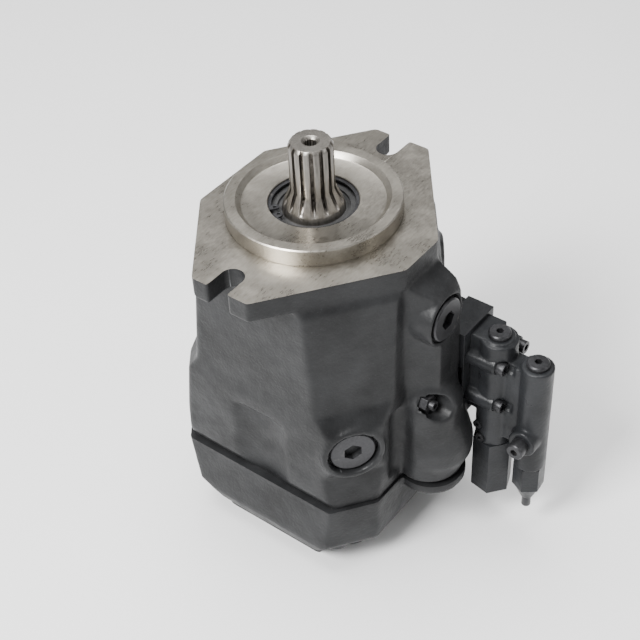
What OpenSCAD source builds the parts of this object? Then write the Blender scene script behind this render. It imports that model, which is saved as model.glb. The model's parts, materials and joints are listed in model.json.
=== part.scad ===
// Variable-displacement axial piston pump, swashplate type, two-bolt mounting flange.
// Origin: centre of the mounting face. +Z runs along the shaft towards the drive end.
// +X runs along the line of the two mounting slots. The control valve is on the -Y side.

/* [Mounting flange] */
// Diameter of the locating pilot
pilot_d = 127; // [120:0.5:130]
// Height of the locating pilot above the mounting face
pilot_h = 12.7; // [10:0.1:14]
// Distance between the two mounting slots
slot_spacing = 181; // [175:1:190]
// Width of each open mounting slot
slot_w = 17.6; // [14:0.1:20]
// Thickness of the flange
flange_t = 17; // [15:0.5:18]

/* [Drive shaft] */
// Major diameter of the shaft spline
spline_d = 31.75; // [30:0.05:33]
// Number of spline teeth
spline_teeth = 14; // [12:1:15]
// Height of the shaft end above the mounting face
shaft_top = 58; // [52:0.5:60]

/* [Housing] */
// Distance from the mounting face to the joint with the port plate
split_depth = 205; // [203:0.5:208]
// Half width of the housing along the slot line
body_half_w = 83; // [82:0.5:85]
// Distance from the mounting face to the rear face
pump_depth = 275; // [272:0.5:278]

/* [Rotating group] */
// Number of pistons
piston_count = 9; // [7:2:9]
// Diameter of each piston
piston_d = 20; // [18:0.1:20.4]
// Radius of the piston pitch circle
piston_pitch_r = 40; // [39.5:0.1:40.5]
// Depth of the ball centres and of the swash axis below the mounting face
swash_depth = 78; // [77:0.5:79]

/* [Control valve] */
// Place of the valve centre line along X
valve_x = 42; // [41:0.5:43]
// Distance between the two spool axes
spool_pitch = 32.7; // [32:0.1:34]

/* [Hidden] */
$fn = 96;
eps = 0.02;

// Clearances
fit_gap = 0.03;
part_gap = 0.3;

// Outline of the mounting flange
flange_half_l = 106.5;
flange_edge_angle = 52.8;
flange_front_d = 85;
flange_back_d = 82;
flange_front_y = 92;
flange_back_y = 75;

// Sealing end
recess_r = 51.2;
recess_floor = 8.6;
recess_slope = 3.8;
seal_r = 32.5;
seal_seat_z = -5;
journal_r = 22.5;

// Front bearing
front_cup_r = 37.5;
front_bearing_z = -28;
front_bearing_w = 20;

// Rear bearing
rear_cup_r = 26;
rear_shaft_r = 12.5;
rear_bearing_w = 15;
rear_bearing_z = -222;

// Housing chamber
chamber_r = 70;
chamber_top = -33;
wall_bolt_x = 67;
wall_bolt_y = 58;
control_y = -86;
control_r = 10;
bias_y = 64;
spring_floor = 5 - split_depth;

// Swashplate group, heights measured from the swash axis
pivot_z = -swash_depth;
face_h = 10.3;
disc_h = 10;
cradle_r = 40;
cradle_in = 38;
cradle_out = 56;
shell_t = 2.4;
arm_pad_r = 7;
bias_pad_r = 6;

// Rotating group
ball_r = 7.5;
slipper_r = 12.5;
slipper_neck_r = 9.2;
slipper_top = face_h - part_gap;
slipper_foot = 6;
retainer_low = 2.4;
retainer_high = 5.4;
guide_ball_r = 24;
piston_neck = 11;
piston_len = 58;
barrel_r = 55;
barrel_top = -109;
barrel_bottom = -190;
kidney_r = 36;
kidney_w = 9;
plate_top = barrel_bottom - 0.1;
plate_t = 4;
spigot_top = plate_top - plate_t;

// Control valve
valve_back_y = -92;
valve_joint_y = -114;
block_top = -80;
block_bottom = -162;
block_x1 = valve_x + 20;
flow_y = -131.4;
pressure_y = flow_y - spool_pitch;
spool_r = 4.5;
spool_bore_r = spool_r + fit_gap;
flow_top = -83;
pressure_top = -96;
spring_room_r = 8.4;
valve_low = -186;
flow_cap_low = -239;
pressure_body_low = -198;
pressure_cap_low = -236;
screw_low = -247;
port_x_z = -165;
spool_len = 67;
flow_tube_r = 14.3;
flow_hex_r = 16.5;
pressure_tube_r = 12.2;
pressure_hex_r = 12.4;
lug_r = 6.5;
lug_len = 24;
screw_xs = [valve_x - 11, valve_x + 18];
screw_zs = [-104, -142];
screw_r = 3.6;
orifice_r = 3.6;
seat_low = -219;

function edge_y(d, x) = (d - cos(flange_edge_angle) * x) / sin(flange_edge_angle);
function edge_x(d, y) = (d - sin(flange_edge_angle) * y) / cos(flange_edge_angle);
function piston_angle(i) = 90 + 360 * (i - 1) / piston_count;

// Octagon with corners cut parallel to the flange's slanted edges
function outline(half_w, front_y, back_y, front_d, back_d) = [
    [half_w, -edge_y(front_d, half_w)],
    [half_w, edge_y(back_d, half_w)],
    [edge_x(back_d, back_y), back_y],
    [-edge_x(back_d, back_y), back_y],
    [-half_w, edge_y(back_d, half_w)],
    [-half_w, -edge_y(front_d, half_w)],
    [-edge_x(front_d, front_y), -front_y],
    [edge_x(front_d, front_y), -front_y]];

// Solid through a stack of such sections, each given as [height, outline], from the top down
module stack(sections) {
    n = len(sections[0][1]);
    last = len(sections) - 1;
    points = [for (level = sections, p = level[1]) [p[0], p[1], level[0]]];
    walls = [for (k = [0:last - 1], i = [0:n - 1])
        let (j = (i + 1) % n)
            [k * n + i, k * n + j, (k + 1) * n + j, (k + 1) * n + i]];
    upper = [for (i = [n - 1:-1:0]) i];
    lower = [for (i = [0:n - 1]) last * n + i];
    polyhedron(points, concat([upper], walls, [lower]));
}

// Cylinder whose axis points in the direction given by an angle about Z, starting at distance d0
module radial_rod(angle, side, z, d0, d1, r0, r1) {
    rotate([0, 0, angle])
        translate([d0, side, z])
            rotate([0, 90, 0])
                cylinder(h = d1 - d0, r1 = r0, r2 = r1);
}

module ring(z0, z1, r_in, r_out) {
    translate([0, 0, z0])
        difference() {
            cylinder(h = z1 - z0, r = r_out);
            translate([0, 0, -1])
                cylinder(h = z1 - z0 + 2, r = r_in);
        }
}

module block(x0, x1, y0, y1, z0, z1) {
    translate([x0, y0, z0])
        cube([x1 - x0, y1 - y0, z1 - z0]);
}

module rod(x, y, z0, z1, r, sides = 96) {
    translate([x, y, z0])
        cylinder(h = z1 - z0, r = r, $fn = sides);
}

// Hexagon-socket plug screw along +Z, with its head's underside at zero
module socket_plug(head_r, head_h, thread_r, thread_l, socket_r) {
    difference() {
        union() {
            cylinder(h = head_h - 1, r = head_r);
            translate([0, 0, head_h - 1])
                cylinder(h = 1, r1 = head_r, r2 = head_r - 1);
            translate([0, 0, -thread_l])
                cylinder(h = thread_l + 1, r = thread_r);
        }
        translate([0, 0, head_h - 0.75 * head_h - 3])
            cylinder(h = head_h + 4, r = socket_r, $fn = 6);
    }
}

// Coil spring along +Z: closed sweep of an eight-sided section along a helix
module coil(r, wire_r, z0, z1, turns) {
    sides = 8;
    steps = turns * 12;
    low = z0 + wire_r;
    rise = z1 - z0 - 2 * wire_r;
    points = [for (k = [0:steps], s = [0:sides - 1])
        let (a = 360 * turns * k / steps, b = 360 * s / sides, q = r + wire_r * cos(b))
            [q * cos(a), q * sin(a), low + rise * k / steps + wire_r * sin(b)]];
    walls = [for (k = [0:steps - 1], s = [0:sides - 1])
        let (n = (s + 1) % sides)
            [k * sides + s, (k + 1) * sides + s, (k + 1) * sides + n, k * sides + n]];
    first = [for (s = [0:sides - 1]) s];
    last = [for (s = [sides - 1:-1:0]) steps * sides + s];
    polyhedron(points, concat(walls, [first, last]));
}

// ---- Tapered roller bearings -------------------------------------------------------------
// Roller axes lean by lean degrees; rollers taper by taper degrees a side.
lean = 12;
taper = 2;
roller_gap = 0.12;

module roller_place(pitch_r, z_mid, up) {
    translate([pitch_r, 0, z_mid])
        rotate([0, -up * lean, 0])
            children();
}

module roller_shape(mean_r, length, grow, up) {
    half = length / 2;
    step = half * tan(taper);
    translate([0, 0, -half])
        cylinder(h = length, r1 = mean_r + grow + up * step, r2 = mean_r + grow - up * step, $fn = 48);
}

// Section of one race: the side that faces the rollers follows their taper
module race(pitch_r, z_mid, mean_r, length, side, flat_r, z0, z1, up) {
    off = side * (mean_r + roller_gap);
    slope = tan(lean + side * taper);
    x0 = pitch_r + off / cos(lean) - up * (z0 - z_mid) * slope;
    x1 = pitch_r + off / cos(lean) - up * (z1 - z_mid) * slope;
    rotate_extrude()
        polygon([[flat_r, z0], [x0, z0], [x1, z1], [flat_r, z1]]);
}

module roller_set(pitch_r, z_mid, mean_r, length, count, up) {
    for (i = [0:count - 1])
        rotate([0, 0, 360 * i / count])
            roller_place(pitch_r, z_mid, up)
                roller_shape(mean_r, length, 0, up);
    difference() {
        cage_low = z_mid - length / 2 - 0.8;
        cage_high = z_mid + length / 2 + 0.8;
        cage_half = 0.6;
        rotate_extrude()
            polygon([[pitch_r - cage_half - up * (cage_low - z_mid) * tan(lean), cage_low],
                [pitch_r + cage_half - up * (cage_low - z_mid) * tan(lean), cage_low],
                [pitch_r + cage_half - up * (cage_high - z_mid) * tan(lean), cage_high],
                [pitch_r - cage_half - up * (cage_high - z_mid) * tan(lean), cage_high]]);
        for (i = [0:count - 1])
            rotate([0, 0, 360 * i / count])
                roller_place(pitch_r, z_mid, up)
                    translate([-4, -mean_r - 0.4, -length / 2 - 0.2])
                        cube([8, 2 * mean_r + 0.8, length + 0.4]);
    }
}

front_pitch_r = 30;
front_mid_z = front_bearing_z + front_bearing_w / 2;
front_roller_r = 3.6;
front_roller_l = 13;
front_rollers = 22;
rear_pitch_r = 19.4;
rear_mid_z = rear_bearing_z + rear_bearing_w / 2;
rear_roller_r = 3.1;
rear_roller_l = 10;
rear_rollers = 16;

module front_bearing_cup() {
    color("silver")
        race(front_pitch_r, front_mid_z, front_roller_r, front_roller_l, 1, front_cup_r - fit_gap,
            front_bearing_z, front_bearing_z + front_bearing_w - 1.5, 1);
}

module front_bearing_cone() {
    color("silver")
        race(front_pitch_r, front_mid_z, front_roller_r, front_roller_l, -1, journal_r,
            front_bearing_z, front_bearing_z + front_bearing_w - 1, 1);
}

module front_bearing_rollers() {
    color("lightsteelblue")
        roller_set(front_pitch_r, front_mid_z, front_roller_r, front_roller_l, front_rollers, 1);
}

module rear_bearing_cup() {
    color("silver")
        race(rear_pitch_r, rear_mid_z, rear_roller_r, rear_roller_l, 1, rear_cup_r - fit_gap,
            rear_bearing_z, rear_bearing_z + rear_bearing_w, -1);
}

module rear_bearing_cone() {
    color("silver")
        race(rear_pitch_r, rear_mid_z, rear_roller_r, rear_roller_l, -1, rear_shaft_r,
            rear_bearing_z + 1, rear_bearing_z + rear_bearing_w, -1);
}

module rear_bearing_rollers() {
    color("lightsteelblue")
        roller_set(rear_pitch_r, rear_mid_z, rear_roller_r, rear_roller_l, rear_rollers, -1);
}

// ---- Housing -----------------------------------------------------------------------------
corner_angle = 180 + flange_edge_angle;
corner_plug_z = -147;
corner_plug_side = -5.5;
corner_face_d = 96;
side_plug_x = 3;
side_plug_z = -51;
side_face_y = -107.5;
pad_x0 = -18;
pad_x1 = 22;
pad_y = -111;
stop_x = -10;
stop_z = -126;
stop_face_y = -101;
lobe_r = 25;
lobe_x = 2;
lobe_y = -98;
lobe_top = -112;
lobe_shoulder = -128;
drain_z = -46;
pocket_r = 65;
pocket_depth = 6;
pocket_top = -136;

module flange_plate() {
    translate([0, 0, -flange_t])
        linear_extrude(flange_t)
            polygon(outline(flange_half_l, flange_front_y, flange_back_y, flange_front_d, flange_back_d));
}

module casting_body() {
    stack([
        [1 - flange_t, outline(80, 88, 70, 84, 76)],
        [-22, outline(80.3, 90, 73, 88, 82)],
        [-38, outline(80.5, 90, 74, 89, 86)],
        [-112, outline(81, 91, 77, 93, 93)],
        [-126, outline(82, 91, 78, 102, 101)],
        [-162, outline(82, 91, 78, 103, 105)],
        [-172, outline(82, 90, 78, 98, 106)],
        [9 - split_depth, outline(body_half_w - 0.5, 88.5, 78, 101, 107)],
        [-split_depth, outline(body_half_w - 5, 88, 76, 101, 104)]]);
}

// Swelling of the casting around the control piston
module lobe_bulge(grow) {
    translate([lobe_x + 5, lobe_y - 1, 0])
        rotate_extrude()
            polygon([[0, -split_depth], [22 + grow, -split_depth], [30 + grow, -185],
                [30 + grow, -172], [16 + grow, lobe_top - 4], [0, lobe_top]]);
}

// Raised pad on the valve side with a sloping top, and the lobe below it
module control_lobe() {
    intersection() {
        translate([pad_x0, 0, 0])
            rotate([90, 0, 90])
                linear_extrude(pad_x1 - pad_x0)
                    polygon([[-70, 1 - flange_t], [-89, 1 - flange_t], [pad_y + 4, -27],
                        [pad_y, -36], [pad_y, lobe_shoulder - 10], [-70, lobe_shoulder - 10]]);
        translate([0, 0, lobe_shoulder - 20])
            linear_extrude(140)
                polygon([[pad_x1 + 1, -60], [pad_x1 + 1, -120], [-11, -120], [-5, pad_y], [pad_x0, -91], [pad_x0, -60]]);
    }
    translate([side_plug_x, -75, side_plug_z])
        rotate([90, 0, 0])
            cylinder(h = -75 - pad_y, r = 21);
    rod(lobe_x, lobe_y, 3 - split_depth, lobe_shoulder, lobe_r);
    translate([lobe_x, lobe_y, lobe_shoulder - eps])
        cylinder(h = lobe_top - lobe_shoulder, r1 = lobe_r, r2 = lobe_r - 11);
    block(lobe_x - 18, lobe_x + lobe_r - 1, lobe_y, -70, -split_depth, lobe_shoulder);
    lobe_bulge(0);
}

module housing_bosses() {
    control_lobe();
    // pad that carries the control valve
    block(pad_x1 - 1, block_x1 - 1, valve_back_y, -60, block_bottom + 2, block_top - 1);
    // bosses of the corner plugs, front and back
    radial_rod(corner_angle, corner_plug_side, corner_plug_z, 70, 104, 30, 24);
    radial_rod(180 - flange_edge_angle, 0, corner_plug_z - 13, 70, 103, 30, 22);
    // boss of the drain port beside the valve
    radial_rod(-flange_edge_angle, 0, drain_z, 60, 92, 24, 17);
    // boss of the spring on the far side
    rod(0, bias_y, -split_depth, -62, 17);
    translate([0, bias_y, -62])
        cylinder(h = 18, r1 = 17, r2 = 8);
}

module housing_pockets() {
    // hollow in each flat side above the joint, under a sharp lip
    for (s = [-1, 1])
        rod(s * (body_half_w - pocket_depth + pocket_r), -2, -split_depth - 1, pocket_top, pocket_r);
    // upright groove beside the corner boss
    rod(-31, -95, -split_depth + 12, -126, 9);
}

module corner_spotface() {
    radial_rod(corner_angle, corner_plug_side, corner_plug_z, corner_face_d, 130, 19.5, 19.5);
    radial_rod(corner_angle, corner_plug_side, corner_plug_z, chamber_r - 12, 110, 10, 10);
}

module side_spotface() {
    translate([side_plug_x, side_face_y, side_plug_z])
        rotate([90, 0, 0])
            cylinder(h = 20, r = 18.5);
    translate([side_plug_x, side_face_y + 14, side_plug_z])
        rotate([90, 0, 0])
            cylinder(h = 20, r = 10);
}

module housing() {
    saddle_r = cradle_r + shell_t + 0.15;
    color([0.30, 0.31, 0.32])
        difference() {
            union() {
                difference() {
                    union() {
                        cylinder(h = pilot_h, d = pilot_d);
                        flange_plate();
                        casting_body();
                        housing_bosses();
                    }
                    housing_pockets();
                    // main chamber and front wall
                    rod(0, 0, -split_depth - 1, chamber_top, chamber_r);
                    rod(0, bias_y, spring_floor, -52, 9);
                    block(-12, 12, -95.5, -60, -124, -44);
                }
                // saddles of the cradle bearings
                for (m = [0, 1])
                    mirror([m, 0, 0]) {
                        block(cradle_in - 1, cradle_out + 3, -36, 0, pivot_z + 23, chamber_top + 1);
                        block(cradle_in - 1, cradle_out + 3, -1, 30, pivot_z + 33, chamber_top + 1);
                    }
            }
            // pilot recess, seal bore, ring groove and bearing bore
            translate([0, 0, recess_floor])
                cylinder(h = 2 * (pilot_h - recess_floor), r1 = recess_r, r2 = recess_r + 2 * recess_slope);
            rod(0, 0, seal_seat_z, pilot_h + 1, seal_r);
            rod(0, 0, 5, 7, seal_r + 1.4);
            rod(0, 0, front_bearing_z - 10, front_bearing_z + front_bearing_w, front_cup_r);
            rod(0, 0, front_bearing_z, seal_seat_z + 1, 29);
            // seats of the cradle shells
            for (s = [-1, 1])
                translate([s * (cradle_in + cradle_out) / 2, 0, pivot_z])
                    rotate([0, 90, 0])
                        cylinder(h = cradle_out - cradle_in + 1, r = saddle_r, center = true);
            // mounting slots
            for (s = [-1, 1]) {
                rod(s * slot_spacing / 2, 0, -flange_t - 30, 1, slot_w / 2);
                block(s > 0 ? slot_spacing / 2 : -130, s > 0 ? 130 : -slot_spacing / 2,
                    -slot_w / 2, slot_w / 2, -flange_t - 30, 1);
            }
            // control bore, plug seats and the hole of the set screw
            rod(0, control_y, -split_depth - 1, -80, control_r + fit_gap);
            corner_spotface();
            side_spotface();
            translate([stop_x, stop_face_y, stop_z])
                rotate([90, 0, 0])
                    cylinder(h = 30, r = 9.5);
            translate([stop_x, stop_face_y + 5.5, stop_z])
                rotate([90, 0, 0])
                    cylinder(h = 8, r = 4);
            radial_rod(-flange_edge_angle, 0, drain_z, 60, 100, 9.8, 9.8);
            // threaded holes of the port plate bolts
            for (x = [-1, 1], y = [-1, 1])
                rod(x * wall_bolt_x, y * wall_bolt_y, -split_depth - 1, -split_depth + 30, 7);
            // threaded holes of the valve screws
            for (x = screw_xs, z = screw_zs)
                translate([x, valve_joint_y, z])
                    rotate([-90, 0, 0])
                        cylinder(h = 36, r = 3.25);
        }
}

module housing_seal() {
    color("black")
        translate([0, 0, -split_depth - 1.5])
            rotate_extrude()
                translate([73, 0])
                    circle(r = 1.2, $fn = 24);
}

module shaft_seal() {
    color([0.12, 0.12, 0.13])
        rotate_extrude()
            polygon([[seal_r - fit_gap, seal_seat_z], [seal_r - fit_gap, 3.5], [26, 3.5], [26, 1.5],
                [journal_r + 0.1, 2.5], [journal_r + 0.1, -1], [25.2, -2.5], [25.2, seal_seat_z]]);
}

// Internal retaining ring with two lugs and a gap between them
module seal_retaining_ring() {
    ring_z = 5.2;
    ring_t = 1.6;
    color("dimgray")
        difference() {
            union() {
                ring(ring_z, ring_z + ring_t, seal_r - 2.6, seal_r + 1.2);
                for (a = [-9, 9])
                    rotate([0, 0, 146 + a])
                        translate([seal_r - 4.6, 0, ring_z])
                            cylinder(h = ring_t, r = 3.3);
            }
            rotate([0, 0, 146])
                block(seal_r - 10, seal_r + 5, -2.4, 2.4, ring_z - 1, ring_z + ring_t + 1);
            for (a = [-9, 9])
                rotate([0, 0, 146 + a])
                    translate([seal_r - 4.8, 0, ring_z - 1])
                        cylinder(h = ring_t + 2, r = 1.2, $fn = 32);
        }
}

module cradle_bearing_shells() {
    shell_in = cradle_r + 0.1;
    shell_out = cradle_r + shell_t;
    color("darkgoldenrod")
        for (s = [-1, 1])
            intersection() {
                translate([s * (cradle_in + cradle_out) / 2, 0, pivot_z])
                    rotate([0, 90, 0])
                        difference() {
                            cylinder(h = cradle_out - cradle_in, r = shell_out, center = true);
                            cylinder(h = cradle_out, r = shell_in, center = true);
                        }
                block(-60, 60, -32, 27, pivot_z + 24, chamber_top);
            }
}

module corner_plug() {
    color([0.16, 0.16, 0.17])
        rotate([0, 0, corner_angle])
            translate([corner_face_d, corner_plug_side, corner_plug_z])
                rotate([0, 90, 0])
                    socket_plug(17.5, 4.5, 9.9, 14, 7.4);
}

module side_plug() {
    color([0.16, 0.16, 0.17])
        translate([side_plug_x, side_face_y, side_plug_z])
            rotate([90, 0, 0])
                socket_plug(16.5, 4.5, 9.9, 12, 7.4);
}

// Set screw and its lock nut above the control piston
module stop_screw() {
    color("gray")
        translate([stop_x, stop_face_y, stop_z])
            rotate([90, 0, 0])
                difference() {
                    translate([0, 0, -5])
                        cylinder(h = 15, r = 3.95);
                    translate([0, 0, 7])
                        cylinder(h = 5, r = 2.3, $fn = 6);
                }
}

module stop_nut() {
    color("gray")
        translate([stop_x, stop_face_y, stop_z])
            rotate([90, 0, 0])
                difference() {
                    translate([0, 0, 0.05])
                        cylinder(h = 6, r = 7.5, $fn = 6);
                    translate([0, 0, -1])
                        cylinder(h = 8, r = 4);
                }
}

// ---- Port plate --------------------------------------------------------------------------
suction_x = 26;
suction_r = 25;
suction_dx = 42.9;
suction_dy = 77.8;
pressure_x = -40;
pressure_r = 12.5;
pressure_dx = 26.2;
pressure_dy = 52.4;
corner_low = -245;
ledge_low = -214;
port_face = -pump_depth;

// Curved slot between two angles
module kidney(r, w, a0, a1, z0, z1) {
    rotate([0, 0, a0])
        translate([0, 0, z0])
            rotate_extrude(angle = a1 - a0)
                translate([r - w / 2, 0])
                    square([w, z1 - z0]);
    for (a = [a0, a1])
        rotate([0, 0, a])
            rod(r, 0, z0, z1, w / 2 + eps);
}

module port_pattern(x, dx, dy) {
    for (u = [-1, 1], v = [-1, 1])
        translate([x + u * dx / 2, v * dy / 2, 0])
            children();
}

module port_plate() {
    color([0.30, 0.31, 0.32])
        difference() {
            union() {
                stack([
                    [-split_depth, outline(body_half_w + 1, 90, 80, 104, 108.5)],
                    [corner_low, outline(body_half_w + 4.5, 89, 78, 104, 103)],
                    [corner_low - 4, outline(body_half_w + 4.5, 86, 75, 101, 95)],
                    [corner_low - 15, outline(body_half_w, 77, 70, 92, 88)],
                    [port_face, outline(body_half_w - 9, 66, 61, 80, 80)]]);
                rod(lobe_x + 2, lobe_y - 1, ledge_low, -split_depth, lobe_r + 2);
                block(lobe_x - 18, lobe_x + lobe_r + 3, lobe_y, -70, ledge_low, -split_depth);
                rod(0, 0, -split_depth - 1, spigot_top, 57);
                ring(-split_depth - 1, -split_depth + 5, 55, chamber_r - fit_gap);
            }
            // seat and groove of the housing seal
            difference() {
                rod(0, 0, -split_depth - 2.8, -split_depth + 1, 74.6);
                rod(0, 0, -split_depth - 3.8, -split_depth + 2, 71.4);
            }
            // pocket of the rear bearing
            rod(0, 0, rear_bearing_z, spigot_top + 1, rear_cup_r);
            rod(0, 0, rear_bearing_z - 6, spigot_top + 1, 16);
            // suction side
            kidney(kidney_r, kidney_w, -55, 55, -246, spigot_top + 1);
            rod(suction_x, 0, port_face - 1, -236, suction_r);
            // pressure side
            kidney(kidney_r, kidney_w - 1, 140, 220, -246, spigot_top + 1);
            rod(pressure_x, 0, port_face - 1, -240, pressure_r);
            // bolt holes of the two port flanges
            port_pattern(suction_x, suction_dx, suction_dy)
                rod(0, 0, port_face - 1, port_face + 20, 6);
            port_pattern(pressure_x, pressure_dx, pressure_dy)
                rod(0, 0, port_face - 1, port_face + 17, 5);
            // clearance holes and seats of the corner bolts
            for (x = [-1, 1], y = [-1, 1]) {
                rod(x * wall_bolt_x, y * wall_bolt_y, port_face - 1, -split_depth + 1, 7.5);
                rod(x * wall_bolt_x, y * wall_bolt_y, port_face - 1, corner_low + 1, 12.5);
            }
            // supply of the control bore
            rod(0, control_y, -218, -split_depth + 1, 4);
        }
}

module port_plate_bolts() {
    head_h = 14;
    color([0.13, 0.13, 0.14])
        for (x = [-1, 1], y = [-1, 1])
            translate([x * wall_bolt_x, y * wall_bolt_y, corner_low + 1])
                difference() {
                    union() {
                        translate([0, 0, -head_h])
                            cylinder(h = 1, r1 = 9.5, r2 = 10.5);
                        translate([0, 0, 1 - head_h])
                            cylinder(h = head_h - 1, r = 10.5);
                        cylinder(h = 64, r = 6.9);
                    }
                    translate([0, 0, -head_h - 1])
                        cylinder(h = 8, r = 6.9, $fn = 6);
                }
}

module valve_plate() {
    color("goldenrod")
        difference() {
            ring(plate_top - plate_t, plate_top, 20, 50);
            kidney(kidney_r, kidney_w, -55, 55, -200, -180);
            for (a = [142, 170, 198])
                kidney(kidney_r, kidney_w - 1, a, a + 12, -200, -180);
        }
}

// ---- Drive shaft and rotating group ------------------------------------------------------
flare_r = 21.7;
shank_r = 17.5;
barrel_spline_r = 17.4;
tail_r = 14;

module spline_grooves(root_r, pitch, width, z0, z1) {
    for (i = [0:spline_teeth - 1])
        rotate([0, 0, 360 * (i + 0.5) / spline_teeth])
            translate([pitch, 0, z0])
                linear_extrude(z1 - z0)
                    polygon([[root_r - pitch, -width * 0.28], [6, -width * 0.75],
                        [6, width * 0.75], [root_r - pitch, width * 0.28]]);
}

module drive_shaft() {
    spline_r = spline_d / 2;
    root_r = spline_r - 2.3;
    color([0.62, 0.62, 0.60])
        difference() {
            rotate_extrude()
                polygon([[0, shaft_top], [root_r + 0.4, shaft_top], [spline_r, shaft_top - 3],
                    [spline_r, 21], [flare_r, 7], [journal_r - 0.4, 5.5], [journal_r, 4.5],
                    [journal_r, front_bearing_z], [27, front_bearing_z], [27, chamber_top],
                    [shank_r, chamber_top], [shank_r, -114], [barrel_spline_r, -114],
                    [barrel_spline_r, -160], [tail_r, -160], [tail_r, rear_bearing_z + rear_bearing_w],
                    [rear_shaft_r, rear_bearing_z + rear_bearing_w], [rear_shaft_r, rear_bearing_z - 2],
                    [rear_shaft_r - 1.5, rear_bearing_z - 4], [0, rear_bearing_z - 4]]);
            spline_grooves(root_r, spline_r, 3.6, 17, shaft_top + 1);
            // run-out of every spline groove through the flare
            for (i = [0:spline_teeth - 1])
                rotate([0, 0, 360 * (i + 0.5) / spline_teeth])
                    translate([root_r + 16.2, 0, 22])
                        rotate([90, 0, 0])
                            rotate_extrude()
                                polygon([[0, -1.6], [15, -1.6], [16.4, -0.7], [16.4, 0.7], [15, 1.6], [0, 1.6]]);
            // threaded centre hole with its countersink
            rod(0, 0, shaft_top - 26, shaft_top + 1, 4.2);
            translate([0, 0, shaft_top - 2])
                cylinder(h = 2.1, r1 = 4.2, r2 = 6.6);
            // spline of the cylinder barrel
            for (i = [0:19])
                rotate([0, 0, 18 * i])
                    block(15.6, 20, -1.4, 1.4, -161, -113);
        }
}

module cylinder_barrel() {
    bore_r = piston_d / 2 + fit_gap;
    color("slategray")
        difference() {
            rotate_extrude()
                polygon([[0, barrel_top], [barrel_r - 1, barrel_top], [barrel_r, barrel_top - 1],
                    [barrel_r, -178], [barrel_r - 5, barrel_bottom], [0, barrel_bottom]]);
            rod(0, 0, barrel_top - 5, barrel_top + 1, 22);
            rod(0, 0, -161, barrel_top, shank_r + 0.15);
            rod(0, 0, barrel_bottom - 1, -161, 24);
            for (i = [1:piston_count])
                rotate([0, 0, piston_angle(i)]) {
                    rod(piston_pitch_r, 0, -179, barrel_top + 1, bore_r);
                    kidney(kidney_r, kidney_w - 2, -7, 7, barrel_bottom - 1, -178);
                }
        }
    // teeth of the barrel spline
    color("slategray")
        for (i = [0:19])
            rotate([0, 0, 18 * i])
                block(15.9, shank_r + 0.6, -1.2, 1.2, -158, -116);
}

module barrel_spring() {
    color("silver")
        coil(19, 2.2, -187, -161.5, 3);
}

// Spherical guide that presses the retaining plate, with its three push pins
module retaining_ball() {
    color("gray") {
        difference() {
            intersection() {
                translate([0, 0, pivot_z])
                    sphere(r = guide_ball_r);
                ring(pivot_z - 9, pivot_z + 9, shank_r + 0.15, 30);
            }
        }
        for (i = [0:2])
            rotate([0, 0, 120 * i + 30])
                rod(20, 0, barrel_top - 4.5, pivot_z - 8, 1.4, 32);
    }
}

module retaining_plate() {
    hole_r = slipper_neck_r + 2.2;
    color("darkgray")
        difference() {
            rod(0, 0, pivot_z + retainer_low, pivot_z + retainer_high, 56);
            translate([0, 0, pivot_z])
                sphere(r = guide_ball_r + 0.1);
            for (i = [1:piston_count])
                rotate([0, 0, piston_angle(i)])
                    rod(piston_pitch_r, 0, pivot_z, pivot_z + 12, hole_r);
        }
}

module piston(i) {
    body_r = piston_d / 2;
    color("lightgray")
        rotate([0, 0, piston_angle(i)])
            translate([piston_pitch_r, 0, pivot_z])
                difference() {
                    union() {
                        sphere(r = ball_r);
                        rotate_extrude()
                            polygon([[0, -3], [5, -3], [5, -9], [body_r - 1, -piston_neck],
                                [body_r, -piston_neck - 1], [body_r, -piston_neck - piston_len + 1],
                                [body_r - 1, -piston_neck - piston_len], [0, -piston_neck - piston_len]]);
                    }
                    translate([0, 0, -piston_neck - piston_len - 1])
                        cylinder(h = 45, r = 6.5);
                    translate([0, 0, -40])
                        cylinder(h = 60, r = 1, $fn = 24);
                }
}

module slipper(i) {
    color("darkkhaki")
        rotate([0, 0, piston_angle(i)])
            translate([piston_pitch_r, 0, pivot_z])
                difference() {
                    rotate_extrude()
                        polygon([[0, slipper_top], [slipper_r, slipper_top], [slipper_r, slipper_foot],
                            [slipper_neck_r, slipper_foot], [slipper_neck_r, -3], [0, -3]]);
                    sphere(r = ball_r + 0.1);
                    translate([0, 0, slipper_top - 0.8])
                        cylinder(h = 1, r = 7);
                    cylinder(h = 20, r = 1, $fn = 24);
                }
}

module swashplate() {
    disc_low = pivot_z + face_h;
    disc_top = disc_low + disc_h;
    color("lightslategray")
        difference() {
            union() {
                rod(0, 0, disc_low, disc_top, 58);
                for (s = [-1, 1])
                    intersection() {
                        translate([s * (cradle_in + cradle_out - 2) / 2, 0, pivot_z])
                            rotate([0, 90, 0])
                                cylinder(h = cradle_out - cradle_in - 2, r = cradle_r, center = true);
                        block(-60, 60, -33, 33, disc_top - 1, pivot_z + cradle_r + 1);
                    }
                // arm of the control piston
                block(-7, 7, control_y, -50, disc_low + 1, disc_top);
                translate([0, control_y, pivot_z])
                    rotate([0, 90, 0])
                        cylinder(h = 14, r = arm_pad_r, center = true);
                block(-7, 7, control_y - arm_pad_r, control_y + arm_pad_r, pivot_z, disc_top);
                // arm of the bias spring
                block(-6, 6, 50, bias_y, disc_low + 1, disc_top);
                translate([0, bias_y, pivot_z])
                    rotate([0, 90, 0])
                        cylinder(h = 12, r = bias_pad_r, center = true);
                block(-6, 6, bias_y - bias_pad_r, bias_y + bias_pad_r, pivot_z, disc_top);
            }
            rod(0, 0, disc_low - 1, disc_top + 1, 26.5);
        }
}

control_top = pivot_z - arm_pad_r - 0.45;
bias_top = pivot_z - bias_pad_r - 0.45;

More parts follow.
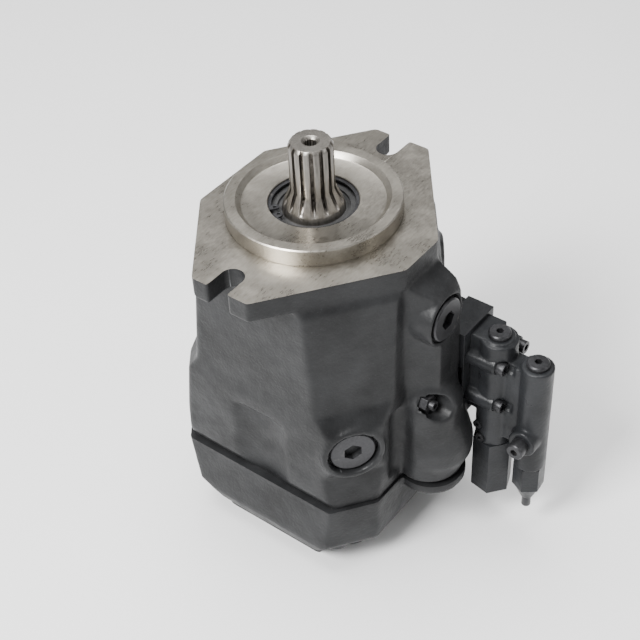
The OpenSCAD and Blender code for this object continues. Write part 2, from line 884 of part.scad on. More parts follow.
module control_piston() {
    color("silver")
        translate([0, control_y, control_top])
            difference() {
                rotate_extrude()
                    polygon([[0, 0], [control_r - 1, 0], [control_r, -1], [control_r, -69],
                        [control_r - 1, -70], [0, -70]]);
                translate([0, 0, -71])
                    cylinder(h = 50, r = 6);
            }
}

// Mushroom that the bias spring pushes against the far arm
module bias_piston() {
    color("silver")
        translate([0, bias_y, bias_top])
            rotate_extrude()
                polygon([[0, 0], [6.5, 0], [7, -0.5], [7, -4], [3.6, -4], [3.6, -30], [0, -30]]);
}

module bias_spring() {
    color("silver")
        translate([0, bias_y, 0])
            coil(5.6, 1.2, spring_floor + 0.1, bias_top - 4.1, 13);
}

// ---- Control valve -----------------------------------------------------------------------
module valve_block() {
    color([0.24, 0.245, 0.25])
        difference() {
            block(pad_x1 + 0.5, block_x1, valve_joint_y + 0.05, valve_back_y - 0.05, block_bottom, block_top);
            rod(lobe_x, lobe_y, block_bottom - 1, lobe_top, lobe_r + 0.3);
            lobe_bulge(0.3);
            for (x = screw_xs, z = screw_zs)
                translate([x, valve_joint_y - 1, z])
                    rotate([-90, 0, 0])
                        cylinder(h = 30, r = 3.4);
            // pressure, control and drain passages
            for (z = [-98, -116, -134])
                translate([valve_x, valve_joint_y - 1, z])
                    rotate([-90, 0, 0])
                        cylinder(h = 30, r = 2.5);
        }
}

module valve_body() {
    web_low = -176;
    color([0.22, 0.225, 0.23])
        difference() {
            union() {
                // foot against the block, flow spool barrel, pressure spool barrel and the web between
                block(valve_x - 11, block_x1 - 4, valve_joint_y - 14, valve_joint_y, block_bottom + 6, flow_top - 1.2);
                rod(valve_x, flow_y, valve_low, flow_top - 3, flow_tube_r);
                rod(valve_x, flow_y, flow_top - 4, flow_top - 1, 11.5);
                block(valve_x - 9, valve_x + 9, pressure_y, flow_y, web_low, pressure_top - 5);
                rod(valve_x, pressure_y, pressure_body_low, pressure_top - 1, pressure_tube_r);
                for (x = screw_xs, z = screw_zs)
                    translate([x, valve_joint_y, z])
                        rotate([90, 0, 0])
                            cylinder(h = lug_len, r = lug_r);
                for (z = screw_zs)
                    block(screw_xs[0], screw_xs[1], valve_joint_y - 20, valve_joint_y, z - 5, z + 5);
                // boss of the remote port
                translate([valve_x, pressure_y, port_x_z])
                    rotate([0, -90, 0])
                        cylinder(h = 17, r = 11);
            }
            for (p = [[flow_y, flow_top], [pressure_y, pressure_top]]) {
                rod(valve_x, p[0], p[1] - spool_len - 20, p[1] + 2, spool_bore_r);
                rod(valve_x, p[0], p[1] - 14, p[1] + 2, 6.1);
                rod(valve_x, p[0], valve_low - 20, p[1] - 15 - spool_len + 0.4, spring_room_r);
            }
            for (x = screw_xs, z = screw_zs)
                translate([x, valve_joint_y + 1, z])
                    rotate([90, 0, 0]) {
                        cylinder(h = lug_len + 2, r = 3.4);
                        translate([0, 0, lug_len + 1])
                            cylinder(h = 12, r = 5.5);
                    }
            orifice_places()
                cylinder(h = 10, r = orifice_r + 0.1);
            translate([valve_x - 6, pressure_y, port_x_z])
                rotate([0, -90, 0])
                    cylinder(h = 30, r = 5.1);
        }
}

module valve_screws() {
    color([0.13, 0.13, 0.14])
        for (x = screw_xs, z = screw_zs)
            translate([x, valve_joint_y - lug_len, z])
                rotate([90, 0, 0])
                    difference() {
                        union() {
                            cylinder(h = 6, r = 5);
                            translate([0, 0, -lug_len - 34])
                                cylinder(h = lug_len + 34, r = 3.2);
                        }
                        translate([0, 0, 3])
                            cylinder(h = 4, r = 2.9, $fn = 6);
                    }
}

module valve_top_plugs() {
    color([0.15, 0.15, 0.16])
        for (p = [[flow_y, flow_top], [pressure_y, pressure_top]])
            translate([valve_x, p[0], p[1] - 1])
                socket_plug(8.4, 4, 6, 11, 2.9);
}

module flow_spring_cap() {
    color([0.27, 0.275, 0.28])
        translate([valve_x, flow_y, 0])
            difference() {
                rotate([0, 0, 20])
                    rod(0, 0, flow_cap_low, valve_low - 0.05, flow_hex_r, 6);
                rod(0, 0, flow_cap_low + 6, valve_low + 1, spring_room_r);
            }
}

module pressure_spring_cap() {
    cone_h = 14;
    color([0.25, 0.255, 0.26])
        translate([valve_x, pressure_y, 0])
            difference() {
                union() {
                    rotate([0, 0, 6])
                        rod(0, 0, pressure_cap_low + cone_h, pressure_body_low - 0.05, pressure_hex_r, 6);
                    translate([0, 0, pressure_cap_low])
                        cylinder(h = cone_h + 0.1, r1 = 5, r2 = 10.6);
                }
                rod(0, 0, pressure_cap_low + cone_h, pressure_body_low + 1, spring_room_r);
                rod(0, 0, pressure_cap_low - 1, pressure_cap_low + cone_h + 1, screw_r + fit_gap);
            }
}

module adjusting_screw() {
    color("dimgray")
        translate([valve_x, pressure_y, 0])
            difference() {
                rod(0, 0, screw_low, seat_low - 0.1, screw_r);
                rod(0, 0, screw_low - 1, screw_low + 4, 1.9, 6);
            }
}

module pressure_spring_seat() {
    color("silver")
        translate([valve_x, pressure_y, 0]) {
            rod(0, 0, seat_low, seat_low + 3, 7.4);
            rod(0, 0, seat_low + 2.9, seat_low + 8, 3.2);
        }
}

module spool(y, top) {
    travel_low = top - 15 - spool_len;
    translate([valve_x, y, 0]) {
        difference() {
            rod(0, 0, travel_low, top - 15, spool_r);
            for (drop = [26, 42, 58])
                ring(top - drop - 5, top - drop, 2.6, spool_r + 1);
        }
        rod(0, 0, travel_low - 4, travel_low + 0.1, 3.2);
        rod(0, 0, travel_low - 1.8, travel_low - 0.1, 7.4);
    }
}

module pressure_spool() {
    color("lightgray")
        spool(pressure_y, pressure_top);
}

module flow_spool() {
    color("lightgray")
        spool(flow_y, flow_top);
}

module pressure_spring() {
    color("silver")
        translate([valve_x, pressure_y, 0])
            coil(5.3, 1.2, seat_low + 3.1, pressure_top - spool_len - 16.9, 6);
}

module flow_spring() {
    color("silver")
        translate([valve_x, flow_y, 0])
            coil(5.3, 1.1, flow_cap_low + 6.1, flow_top - spool_len - 16.9, 11);
}

// Two small plugs in the side of the flow spool barrel, each as [depth of its seat, offset, height]
module orifice_places() {
    for (place = [[9, 7.2, -170], [10.6, 3.7, -181]])
        translate([valve_x - place[0], flow_y + place[1], place[2]])
            rotate([0, -90, 0])
                children();
}

module orifice_plugs() {
    color([0.13, 0.13, 0.14])
        orifice_places()
            difference() {
                cylinder(h = 4.8, r = orifice_r);
                translate([0, 0, 3.4])
                    cylinder(h = 4, r = 1.6, $fn = 6);
            }
}

module port_x_plug() {
    color([0.15, 0.15, 0.16])
        translate([valve_x - 17, pressure_y, port_x_z])
            rotate([0, -90, 0])
                socket_plug(6.8, 10, 5, 9, 3);
}

housing();
port_plate();
housing_seal();
port_plate_bolts();
shaft_seal();
seal_retaining_ring();
front_bearing_cup();
front_bearing_cone();
front_bearing_rollers();
rear_bearing_cup();
rear_bearing_cone();
rear_bearing_rollers();
cradle_bearing_shells();
valve_plate();
corner_plug();
side_plug();
stop_screw();
stop_nut();
drive_shaft();
cylinder_barrel();
barrel_spring();
retaining_ball();
retaining_plate();
for (i = [1:piston_count]) {
    piston(i);
    slipper(i);
}
swashplate();
control_piston();
bias_spring();
bias_piston();
valve_block();
valve_body();
valve_screws();
valve_top_plugs();
flow_spring_cap();
pressure_spring_cap();
orifice_plugs();
port_x_plug();
pressure_spool();
flow_spool();
pressure_spring();
flow_spring();
pressure_spring_seat();
adjusting_screw();
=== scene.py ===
"""Looks of the axial piston pump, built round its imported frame."""

import json
import math

import bmesh
import bpy
from mathutils import Matrix, Vector


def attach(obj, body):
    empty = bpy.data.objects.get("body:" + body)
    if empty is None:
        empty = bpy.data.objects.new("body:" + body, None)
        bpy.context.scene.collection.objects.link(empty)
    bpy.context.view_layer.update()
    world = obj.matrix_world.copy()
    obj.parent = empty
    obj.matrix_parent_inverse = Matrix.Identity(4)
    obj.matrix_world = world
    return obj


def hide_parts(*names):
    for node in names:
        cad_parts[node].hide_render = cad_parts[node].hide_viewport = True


MM = 0.001

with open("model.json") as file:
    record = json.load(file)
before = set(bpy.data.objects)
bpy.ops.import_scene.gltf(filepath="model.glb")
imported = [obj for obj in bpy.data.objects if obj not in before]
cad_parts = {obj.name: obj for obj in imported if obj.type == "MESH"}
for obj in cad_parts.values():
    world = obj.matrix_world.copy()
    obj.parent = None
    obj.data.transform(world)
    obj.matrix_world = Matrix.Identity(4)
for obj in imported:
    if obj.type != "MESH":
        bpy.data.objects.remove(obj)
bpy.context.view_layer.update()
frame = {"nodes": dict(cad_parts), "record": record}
nodes = frame["nodes"]

# ---- Sizes shared with the CAD model, in millimetres ------------------------------------------
SPLIT = -205
REAR = -275
FLANGE_ANGLE = math.radians(52.8)
CORNER_ANGLE = math.pi + FLANGE_ANGLE
SLOT_X = 90.5
SLOT_R = 8.8
FLANGE_T = 17
BOLT_X = 67
BOLT_Y = 58
VALVE_X = 42
VALVE_BACK = -114
FLOW_Y = -131.4
PRESSURE_Y = -164.1
SCREW_XS = (31, 60)
SCREW_ZS = (-104, -142)
SUCTION = (26, 42.9, 77.8)
PRESSURE = (-40, 26.2, 52.4)
CORNERS = ((-1, -1), (-1, 1), (1, -1), (1, 1))
SPLINE_TEETH = 14

X = Vector((1, 0, 0))
Y = Vector((0, 1, 0))
Z = Vector((0, 0, 1))


# ---- Shapes -----------------------------------------------------------------------------------
def put(name, mesh):
    """Adds a mesh to the scene as an object."""
    obj = bpy.data.objects.new(name, mesh)
    bpy.context.scene.collection.objects.link(obj)
    return obj


def from_bmesh(name, bm, smooth=False):
    """Turns a bmesh drawn in millimetres into an object in metres."""
    bmesh.ops.scale(bm, vec=(MM, MM, MM), verts=bm.verts)
    bmesh.ops.recalc_face_normals(bm, faces=bm.faces)
    mesh = bpy.data.meshes.new(name)
    bm.to_mesh(mesh)
    bm.free()
    if smooth:
        mesh.shade_smooth()
    return put(name, mesh)


def block(x0, x1, y0, y1, z0, z1, name="block"):
    bm = bmesh.new()
    bmesh.ops.create_cube(bm, size=1)
    bmesh.ops.scale(bm, vec=(x1 - x0, y1 - y0, z1 - z0), verts=bm.verts)
    bmesh.ops.translate(bm, vec=((x0 + x1) / 2, (y0 + y1) / 2, (z0 + z1) / 2), verts=bm.verts)
    return from_bmesh(name, bm)


def rod(start, axis, length, radius, end_radius=None, name="rod", segments=128):
    """Cylinder or cone from a start point along an axis."""
    bm = bmesh.new()
    bmesh.ops.create_cone(bm, cap_ends=True, segments=segments, radius1=radius,
                          radius2=radius if end_radius is None else end_radius, depth=length)
    turn = Z.rotation_difference(Vector(axis)).to_matrix().to_4x4()
    from_middle = Matrix.Translation((0, 0, length / 2))
    bmesh.ops.transform(bm, matrix=Matrix.Translation(Vector(start)) @ turn @ from_middle, verts=bm.verts)
    return from_bmesh(name, bm)


def upright(x, y, z0, z1, radius, name="rod"):
    return rod((x, y, z0), Z, z1 - z0, radius, name=name)


def radial(angle, side, z, d0, d1, r0, r1=None):
    """Cylinder whose axis points away from the shaft at an angle about Z."""
    out = Vector((math.cos(angle), math.sin(angle), 0))
    across = Vector((-math.sin(angle), math.cos(angle), 0))
    return rod(out * d0 + across * side + Z * z, out, d1 - d0, r0, r1)


def lathe(name, profile, segments=256, closed=True):
    """Turns a profile of (radius, height) points about Z."""
    bm = bmesh.new()
    rings = []
    for k in range(segments):
        a = 2 * math.pi * k / segments
        rings.append([bm.verts.new((r * math.cos(a), r * math.sin(a), z)) for r, z in profile])
    count = len(profile)
    for k in range(segments):
        here, there = rings[k], rings[(k + 1) % segments]
        for i in range(count if closed else count - 1):
            j = (i + 1) % count
            bm.faces.new((here[i], there[i], there[j], here[j]))
    return from_bmesh(name, bm, smooth=True)


def drop(*objs):
    for obj in objs:
        mesh = obj.data
        bpy.data.objects.remove(obj)
        bpy.data.meshes.remove(mesh)


def bake(obj):
    """Applies the object's modifiers."""
    graph = bpy.context.evaluated_depsgraph_get()
    graph.update()
    mesh = bpy.data.meshes.new_from_object(obj.evaluated_get(graph))
    old = obj.data
    obj.modifiers.clear()
    obj.data = mesh
    bpy.data.meshes.remove(old)
    return obj


def cut(obj, other, operation="DIFFERENCE", keep=False):
    """Boolean with another object, which is removed unless it is kept."""
    for solver in ("MANIFOLD", "EXACT"):
        before = len(obj.data.polygons)
        mod = obj.modifiers.new("cut", "BOOLEAN")
        mod.operation = operation
        mod.solver = solver
        mod.object = other
        graph = bpy.context.evaluated_depsgraph_get()
        graph.update()
        mesh = bpy.data.meshes.new_from_object(obj.evaluated_get(graph))
        obj.modifiers.clear()
        same = len(mesh.polygons) == before and solver == "MANIFOLD"
        if len(mesh.polygons) and not same:
            old = obj.data
            obj.data = mesh
            bpy.data.meshes.remove(old)
            break
        bpy.data.meshes.remove(mesh)
    if not keep:
        drop(other)
    return obj


def join_with(obj, others):
    for other in others:
        cut(obj, other, "UNION")
    return obj


def copy_node(node, name=None):
    """Closed, welded copy of a CAD node's mesh."""
    bm = bmesh.new()
    bm.from_mesh(nodes[node].data)
    bmesh.ops.remove_doubles(bm, verts=bm.verts, dist=2e-6)
    bmesh.ops.recalc_face_normals(bm, faces=bm.faces)
    mesh = bpy.data.meshes.new(name or node)
    bm.to_mesh(mesh)
    bm.free()
    return put(name or node, mesh)


def copy_of(obj):
    return put(obj.name + "_copy", obj.data.copy())


def slab_of(obj, box, shift):
    """The part of obj inside a box, moved by a few millimetres."""
    slab = cut(copy_of(obj), box, "INTERSECT")
    slab.data.transform(Matrix.Translation(Vector(shift) * MM))
    return slab


def soften(obj, voxel, rounds):
    """Rounds every edge of a solid the way a sand casting is rounded."""
    remesh = obj.modifiers.new("remesh", "REMESH")
    remesh.mode = "VOXEL"
    remesh.voxel_size = voxel * MM
    smooth = obj.modifiers.new("smooth", "SMOOTH")
    smooth.factor = 0.5
    smooth.iterations = rounds
    return bake(obj)


def finish_mesh(obj, angle=32):
    obj.data.shade_smooth()
    obj.data.set_sharp_from_angle(angle=math.radians(angle))
    return obj


# ---- Castings ---------------------------------------------------------------------------------
def casting(node, name, fills, slabs, crops, cutters, voxel, rounds):
    """A cast piece: soft outside, machined faces and the CAD model's exact inside."""
    cad = copy_node(node, name + "_cad")
    outer = copy_of(cad)
    holes = [cut(copy_of(fill), cad, keep=True) for fill in fills]
    join_with(outer, fills)
    for box, shift in slabs:
        join_with(outer, [slab_of(outer, box, shift)])
    soften(outer, voxel, rounds)
    for crop in crops:
        cut(outer, crop)
    for tool in cutters + holes:
        cut(outer, tool)
    drop(cad)
    outer.name = name
    outer.data.name = name
    return finish_mesh(outer)


def make_housing():
    bolt_holes = [upright(u * BOLT_X, v * BOLT_Y, SPLIT - 0.4, SPLIT + 30.3, 7.2) for u, v in CORNERS]
    valve_holes = [rod((x, VALVE_BACK + 16, z), Y, 20.3, 3.4) for x in SCREW_XS for z in SCREW_ZS]
    fills = [
        upright(0, 0, SPLIT - 0.4, -32.6, 72),
        upright(0, 0, -38.5, -0.4, 38),
        block(-12.4, 12.4, -95.9, -59, -124.4, -43.6),
        upright(0, -86, SPLIT - 0.3, -79.6, 10.4),
        upright(0, 64, -200.3, -51.7, 9.4),
        radial(-FLANGE_ANGLE, 0, -46, 59, 91.5, 10.2),
        radial(CORNER_ANGLE, -5.5, -147, 60, 95.6, 10.3),
        rod((3, -92, -51), -Y, 15.2, 10.3),
    ] + bolt_holes + valve_holes
    slabs = [
        (block(-130, 130, -130, 130, -5, -0.5), (0, 0, 4)),
        (block(-130, 130, -130, 130, SPLIT + 0.5, SPLIT + 3), (0, 0, -3)),
    ]
    crops = [
        block(-130, 130, -150, 130, 0, 30),
        block(-130, 130, -150, 130, SPLIT - 20, SPLIT),
    ]
    cutters = [
        radial(CORNER_ANGLE, -5.5, -147, 96, 130, 19.5),
        rod((3, -107.5, -51), -Y, 20, 18.5),
        rod((-10, -101, -126), -Y, 30, 9.5),
        rod((-10, -95.5, -126), -Y, 8, 4),
        upright(0, 0, -3, 2, 32.5),
    ]
    for s in (-1, 1):
        cutters.append(upright(s * SLOT_X, 0, -FLANGE_T - 30, 1, SLOT_R))
        x0, x1 = sorted((s * SLOT_X, s * 130))
        cutters.append(block(x0, x1, -SLOT_R, SLOT_R, -FLANGE_T - 30, 1))
    return casting("housing", "housing_casting", fills, slabs, crops, cutters, 1.5, 12)


def make_pilot():
    """The machined locating ring with its recess, seal bore and ring groove."""
    return lathe("pilot_ring", [
        (32.5, 0), (32.5, 5), (33.9, 5), (33.9, 7), (32.5, 7), (32.5, 8.1), (33, 8.6),
        (50.6, 8.6), (51.5, 8.9), (54.8, 12.4), (55.2, 12.7), (62.7, 12.7),
        (63.5, 11.9), (63.5, 1.2), (63.1, 0.8), (63.1, 0)])


def port_bolts(port, radius, depth):
    x, dx, dy = port
    return [upright(x + u * dx / 2, v * dy / 2, REAR - 0.4, REAR + depth, radius) for u, v in CORNERS]


def make_port_plate():
    fills = [
        upright(0, 0, REAR + 0.3, SPLIT - 0.3, 59),
    ] + port_bolts(SUCTION, 6.3, 20.3) + port_bolts(PRESSURE, 5.3, 17.3)
    fills += [
        upright(0, -86, -218.3, SPLIT + 0.3, 4.3),
    ]
    slabs = [
        (block(-130, 130, -150, 130, SPLIT - 3, SPLIT - 0.5), (0, 0, 3)),
        (block(-130, 130, -150, 130, REAR + 0.5, REAR + 3), (0, 0, -3)),
    ]
    crops = [
        block(-130, 130, -150, 130, SPLIT, SPLIT + 30),
        block(-130, 130, -150, 130, REAR - 20, REAR),
    ]
    cutters = []
    for u in (-1, 1):
        for v in (-1, 1):
            cutters.append(upright(u * BOLT_X, v * BOLT_Y, REAR - 3, SPLIT + 1, 7.5))
            cutters.append(upright(u * BOLT_X, v * BOLT_Y, REAR - 3, -244, 12.5))
    return casting("port_plate", "port_plate_casting", fills, slabs, crops, cutters, 1.5, 12)


def make_valve_body():
    fills = [
        upright(VALVE_X, FLOW_Y, -185.7, -84.3, 8.7),
        upright(VALVE_X, PRESSURE_Y, -197.7, -97.3, 8.7),
        rod((VALVE_X - 5.7, PRESSURE_Y, -165), -X, 11, 5.4),
    ]
    fills += [rod((x, VALVE_BACK - 0.3, z), -Y, 23.4, 3.7) for x in SCREW_XS for z in SCREW_ZS]
    slabs = [(block(0, 90, -117, -114.5, -200, -60), (0, 2.5, 0))]
    crops = [block(0, 90, VALVE_BACK, -60, -200, -60)]
    return casting("valve_body", "valve_body_casting", fills, slabs, crops, [], 0.8, 6)


# ---- Materials --------------------------------------------------------------------------------
class Graph:
    """Short way to write a shader."""

    def __init__(self, name):
        self.material = bpy.data.materials.new(name)
        self.material.use_nodes = True
        self.tree = self.material.node_tree
        self.shader = self.tree.nodes["Principled BSDF"]
        self.coords = self.tree.nodes.new("ShaderNodeTexCoord").outputs["Object"]

    @classmethod
    def of(cls, material):
        """Goes on with a shader that exists."""
        g = cls.__new__(cls)
        g.material = material
        g.tree = material.node_tree
        g.shader = g.tree.nodes["Principled BSDF"]
        g.coords = g.tree.nodes.new("ShaderNodeTexCoord").outputs["Object"]
        return g

    def link(self, a, b):
        self.tree.links.new(a, b)

    def noise(self, scale, detail=4, rough=0.6, stretch=None):
        """Noise whose scale is in features per metre, with an optional stretch of the space."""
        node = self.tree.nodes.new("ShaderNodeTexNoise")
        node.inputs["Scale"].default_value = scale
        node.inputs["Detail"].default_value = detail
        node.inputs["Roughness"].default_value = rough
        source = self.coords
        if stretch:
            mapping = self.tree.nodes.new("ShaderNodeMapping")
            mapping.inputs["Scale"].default_value = stretch
            self.link(source, mapping.inputs["Vector"])
            source = mapping.outputs["Vector"]
        self.link(source, node.inputs["Vector"])
        return node.outputs["Fac"]

    def remap(self, value, lo, hi, out_lo, out_hi):
        node = self.tree.nodes.new("ShaderNodeMapRange")
        for key, number in (("From Min", lo), ("From Max", hi), ("To Min", out_lo), ("To Max", out_hi)):
            node.inputs[key].default_value = number
        self.link(value, node.inputs["Value"])
        return node.outputs["Result"]

    def math(self, operation, a, b):
        node = self.tree.nodes.new("ShaderNodeMath")
        node.operation = operation
        for socket, value in zip(node.inputs, (a, b)):
            if isinstance(value, (int, float)):
                socket.default_value = value
            else:
                self.link(value, socket)
        return node.outputs["Value"]

    def mix(self, fac, a, b):
        node = self.tree.nodes.new("ShaderNodeMix")
        node.data_type = "RGBA"
        if isinstance(fac, (int, float)):
            node.inputs[0].default_value = fac
        else:
            self.link(fac, node.inputs[0])
        for socket, value in ((node.inputs[6], a), (node.inputs[7], b)):
            if isinstance(value, tuple):
                socket.default_value = (*value, 1)
            else:
                self.link(value, socket)
        return node.outputs[2]

    def edges(self, lo, hi):
        """Mask of convex edges, for edge wear and painted edge highlights."""
        geometry = self.tree.nodes.new("ShaderNodeNewGeometry")
        return self.remap(geometry.outputs["Pointiness"], lo, hi, 0, 1)

    def bump(self, height, distance, strength=1.0, below=None):
        node = self.tree.nodes.new("ShaderNodeBump")
        node.inputs["Strength"].default_value = strength
        node.inputs["Distance"].default_value = distance * MM
        self.link(height, node.inputs["Height"])
        if below is not None:
            self.link(below, node.inputs["Normal"])
        return node.outputs["Normal"]


def cast_paint(name, dark, light, rough, grain=0.25, edge_wear_and_highlight=(0.16, 0.165, 0.17), edge_wear_and_highlight_at=(0.56, 0.7)):
    """Satin paint over a sand casting."""
    g = Graph(name)
    cloud = g.remap(g.noise(28, 5), 0.35, 0.68, 0, 1)
    speck = g.remap(g.noise(700, 3), 0.62, 0.74, 0, 0.5)
    colour = g.mix(cloud, dark, light)
    colour = g.mix(speck, colour, tuple(1.7 * c for c in light))
    # Convex edges are lightened: partly real edge wear, partly a painted highlight where a rounded edge would
    # catch the light.
    worn_and_lit_edge = g.math("MULTIPLY", g.edges(*edge_wear_and_highlight_at), g.remap(g.noise(160, 4), 0.4, 0.6, 0.25, 1))
    colour = g.mix(worn_and_lit_edge, colour, edge_wear_and_highlight)
    g.link(colour, g.shader.inputs["Base Color"])
    g.link(g.remap(g.noise(60, 6), 0.3, 0.7, rough - 0.07, rough + 0.12), g.shader.inputs["Roughness"])
    sand = g.bump(g.noise(420, 3, 0.55), grain)
    swell = g.bump(g.noise(45, 3, 0.5), grain * 3, below=sand)
    g.link(swell, g.shader.inputs["Normal"])
    g.shader.inputs["Specular IOR Level"].default_value = 0.2
    return g.material


def metal(name, dark, light, rough, metallic=1.0, streak=None, scale=400, scratch=0.03,
          stain=None, stain_at=(0.6, 0.72)):
    """Machined, ground or blackened metal with fine marks along a direction."""
    g = Graph(name)
    marks = g.noise(scale, 4, 0.65, streak or (1, 1, 1))
    cloud = g.noise(30, 5, 0.6)
    both = g.math("ADD", g.math("MULTIPLY", marks, 0.45), g.math("MULTIPLY", cloud, 0.55))
    colour = g.mix(g.remap(both, 0.38, 0.62, 0, 1), dark, light)
    if stain:
        colour = g.mix(g.remap(g.noise(90, 6, 0.7), *stain_at, 0, 0.8), colour, stain)
    g.link(colour, g.shader.inputs["Base Color"])
    g.shader.inputs["Metallic"].default_value = metallic
    g.link(g.remap(both, 0.35, 0.65, rough - 0.06, rough + 0.12), g.shader.inputs["Roughness"])
    g.link(g.bump(marks, scratch), g.shader.inputs["Normal"])
    return g.material


def rubber_look():
    g = Graph("seal_rubber")
    g.link(g.mix(g.remap(g.noise(120, 4), 0.35, 0.65, 0, 1), (0.012, 0.012, 0.012), (0.03, 0.03, 0.03)),
           g.shader.inputs["Base Color"])
    g.link(g.remap(g.noise(200, 3), 0.3, 0.7, 0.45, 0.7), g.shader.inputs["Roughness"])
    g.link(g.bump(g.noise(900, 2), 0.04), g.shader.inputs["Normal"])
    return g.material


def shaft_look():
    """Ground steel with painted shade darkening its spline grooves."""
    material = metal("shaft_steel", (0.20, 0.188, 0.17), (0.33, 0.31, 0.285), 0.36,
                     streak=(1, 1, 0.08), scale=900)
    g = Graph.of(material)
    split = g.tree.nodes.new("ShaderNodeSeparateXYZ")
    g.link(g.coords, split.inputs[0])
    turn = g.math("ARCTAN2", split.outputs["Y"], split.outputs["X"])
    tooth = g.math("COSINE", g.math("MULTIPLY", turn, SPLINE_TEETH), 0)
    groove = g.remap(tooth, -0.25, -0.75, 0, 1)
    along = g.math("MULTIPLY", g.remap(split.outputs["Z"], 0.008, 0.012, 0, 1),
                   g.remap(split.outputs["Z"], 0.0572, 0.0560, 0, 1))
    # Painted shade: the grooves between the spline teeth are darkened as if the teeth shaded them.
    groove_shade = g.math("MULTIPLY", g.math("MULTIPLY", groove, along), g.remap(g.noise(240, 4), 0.3, 0.6, 0.55, 1))
    base = g.shader.inputs["Base Color"]
    before = base.links[0].from_socket
    g.link(g.mix(groove_shade, before, (0.035, 0.030, 0.026)), base)
    return material


# The edge colour of each paint is partly edge wear, partly a painted edge highlight.
HOUSING_PAINT = cast_paint("casting_paint", (0.009, 0.0092, 0.0097), (0.021, 0.0215, 0.0225), 0.42)
VALVE_PAINT = cast_paint("valve_paint", (0.010, 0.0105, 0.0115), (0.020, 0.021, 0.023), 0.34, grain=0.2,
                         edge_wear_and_highlight=(0.07, 0.072, 0.075))
FLANGE_METAL = metal("machined_flange", (0.30, 0.28, 0.245), (0.41, 0.385, 0.34), 0.30,
                     streak=(0.25, 1, 1), scale=700, scratch=0.02)
STEEL = metal("bare_steel", (0.42, 0.405, 0.38), (0.58, 0.565, 0.54), 0.28, streak=(1, 1, 0.08), scale=900)
SHAFT = shaft_look()
BEARING = metal("ground_steel", (0.52, 0.53, 0.54), (0.66, 0.67, 0.68), 0.17, scale=1200, scratch=0.01)
SPRING = metal("spring_steel", (0.22, 0.23, 0.25), (0.36, 0.37, 0.39), 0.3, scale=900)
IRON = metal("machined_iron", (0.27, 0.265, 0.26), (0.40, 0.39, 0.38), 0.38, scale=500, scratch=0.03)
BRONZE = metal("bearing_bronze", (0.42, 0.26, 0.10), (0.58, 0.38, 0.16), 0.3, scale=700)
OXIDE = metal("black_oxide", (0.018, 0.018, 0.0195), (0.042, 0.042, 0.045), 0.38, metallic=0.6, scale=500,
              scratch=0.03, stain=(0.16, 0.15, 0.14), stain_at=(0.62, 0.78))
RUBBER = rubber_look()

BY_SLOT = {
    "cast_housing": HOUSING_PAINT,
    "dark_paint": VALVE_PAINT,
    "machined_casting": IRON,
    "bare_steel": STEEL,
    "bearing_steel": BEARING,
    "spring_steel": SPRING,
    "black_oxide": OXIDE,
    "bronze": BRONZE,
    "rubber": RUBBER,
}


def dress(obj, *materials):
    obj.data.materials.clear()
    for material in materials:
        obj.data.materials.append(material)


# ---- Pieces -----------------------------------------------------------------------------------
housing = make_housing()
dress(housing, HOUSING_PAINT, FLANGE_METAL)
for face in housing.data.polygons:
    if face.center.z > -0.05 * MM:
        face.material_index = 1
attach(housing, "case")
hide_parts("housing")

pilot = make_pilot()
dress(finish_mesh(pilot, 20), FLANGE_METAL)
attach(pilot, "case")

plate = make_port_plate()
dress(plate, HOUSING_PAINT)
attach(plate, "case")
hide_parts("port_plate")

valve = make_valve_body()
dress(valve, VALVE_PAINT)
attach(valve, "case")
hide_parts("valve_body")

BEVELS = {"valve_block": 1.0, "flow_spring_cap": 0.7, "pressure_spring_cap": 0.6, "drive_shaft": 0.25}
for part in frame["record"]["subparts"]:
    node = part["node"]
    if node in ("housing", "port_plate", "valve_body"):
        continue
    obj = nodes[node]
    dress(obj, SHAFT if node == "drive_shaft" else BY_SLOT[part["material_slot"]])
    weld = obj.modifiers.new("weld", "WELD")
    weld.merge_threshold = 2e-6
    bevel = obj.modifiers.new("bevel", "BEVEL")
    bevel.width = BEVELS.get(node, 0.3) * MM
    bevel.segments = 2
    bevel.limit_method = "ANGLE"
    bevel.angle_limit = math.radians(38)
    bevel.harden_normals = True


# ---- Stage ------------------------------------------------------------------------------------
def floor_look():
    g = Graph("paper_floor")
    g.link(g.mix(g.remap(g.noise(3, 3), 0.3, 0.7, 0, 1), (0.88, 0.88, 0.88), (0.90, 0.90, 0.90)),
           g.shader.inputs["Base Color"])
    g.shader.inputs["Roughness"].default_value = 0.8
    return g.material


floor = block(-9000, 9000, -9000, 9000, REAR - 21, REAR - 1, name="floor")
dress(floor, floor_look())


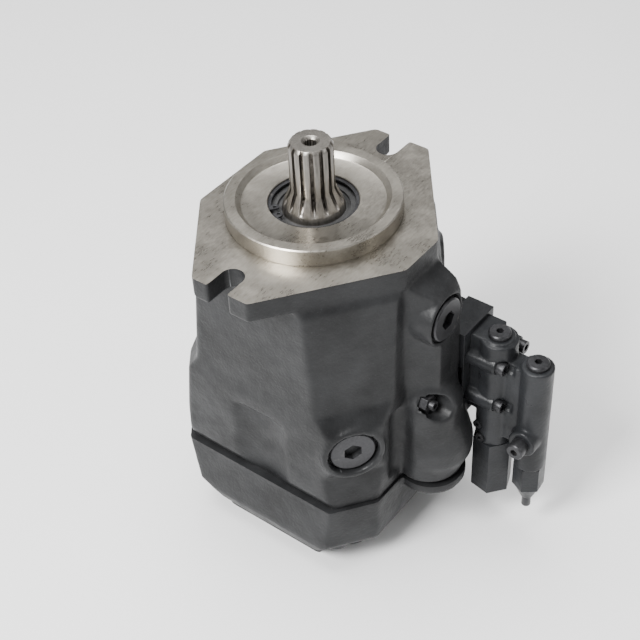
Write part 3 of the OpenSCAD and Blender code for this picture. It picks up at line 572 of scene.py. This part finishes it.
def area_light(name, place, target, size, power, colour=(1, 1, 1)):
    light = bpy.data.lights.new(name, "AREA")
    light.shape = "RECTANGLE"
    light.size, light.size_y = size
    light.energy = power
    light.color = colour
    obj = bpy.data.objects.new(name, light)
    bpy.context.scene.collection.objects.link(obj)
    obj.location = Vector(place)
    obj.rotation_euler = (Vector(target) - Vector(place)).to_track_quat("-Z", "Y").to_euler()
    return obj


CENTRE = (0, -0.03, -0.12)
area_light("key", (-1.5, 0.2, 1.5), CENTRE, (0.7, 0.7), 95)
area_light("top", (0.1, 0.3, 1.9), CENTRE, (1.6, 1.6), 60)
area_light("fill", (0.7, -1.9, 0.9), CENTRE, (0.6, 0.6), 7)

world = bpy.data.worlds.new("studio")
world.use_nodes = True
world.node_tree.nodes["Background"].inputs["Color"].default_value = (1, 1, 1, 1)
world.node_tree.nodes["Background"].inputs["Strength"].default_value = 0.45
bpy.context.scene.world = world

# ---- Camera -----------------------------------------------------------------------------------
AZIMUTH = math.radians(-50.6026)
ELEVATION = math.radians(41.7456)
ROLL = math.radians(-3.3301)
DISTANCE = 939.41
SHIFT_RIGHT = 4.118
SHIFT_UP = -78.396
LENS = 74.781


def make_camera():
    back = Vector((math.sin(AZIMUTH) * math.cos(ELEVATION), -math.cos(AZIMUTH) * math.cos(ELEVATION),
                   math.sin(ELEVATION)))
    level = Vector((math.cos(AZIMUTH), math.sin(AZIMUTH), 0))
    over = back.cross(level)
    right = math.cos(ROLL) * level + math.sin(ROLL) * over
    up = -math.sin(ROLL) * level + math.cos(ROLL) * over
    place = (back * DISTANCE + right * SHIFT_RIGHT + up * SHIFT_UP) * MM
    data = bpy.data.cameras.new("camera")
    data.lens = LENS
    data.clip_end = 60
    obj = bpy.data.objects.new("camera", data)
    bpy.context.scene.collection.objects.link(obj)
    obj.matrix_world = Matrix(((right.x, up.x, back.x, place.x), (right.y, up.y, back.y, place.y),
                               (right.z, up.z, back.z, place.z), (0, 0, 0, 1)))
    bpy.context.scene.camera = obj


make_camera()
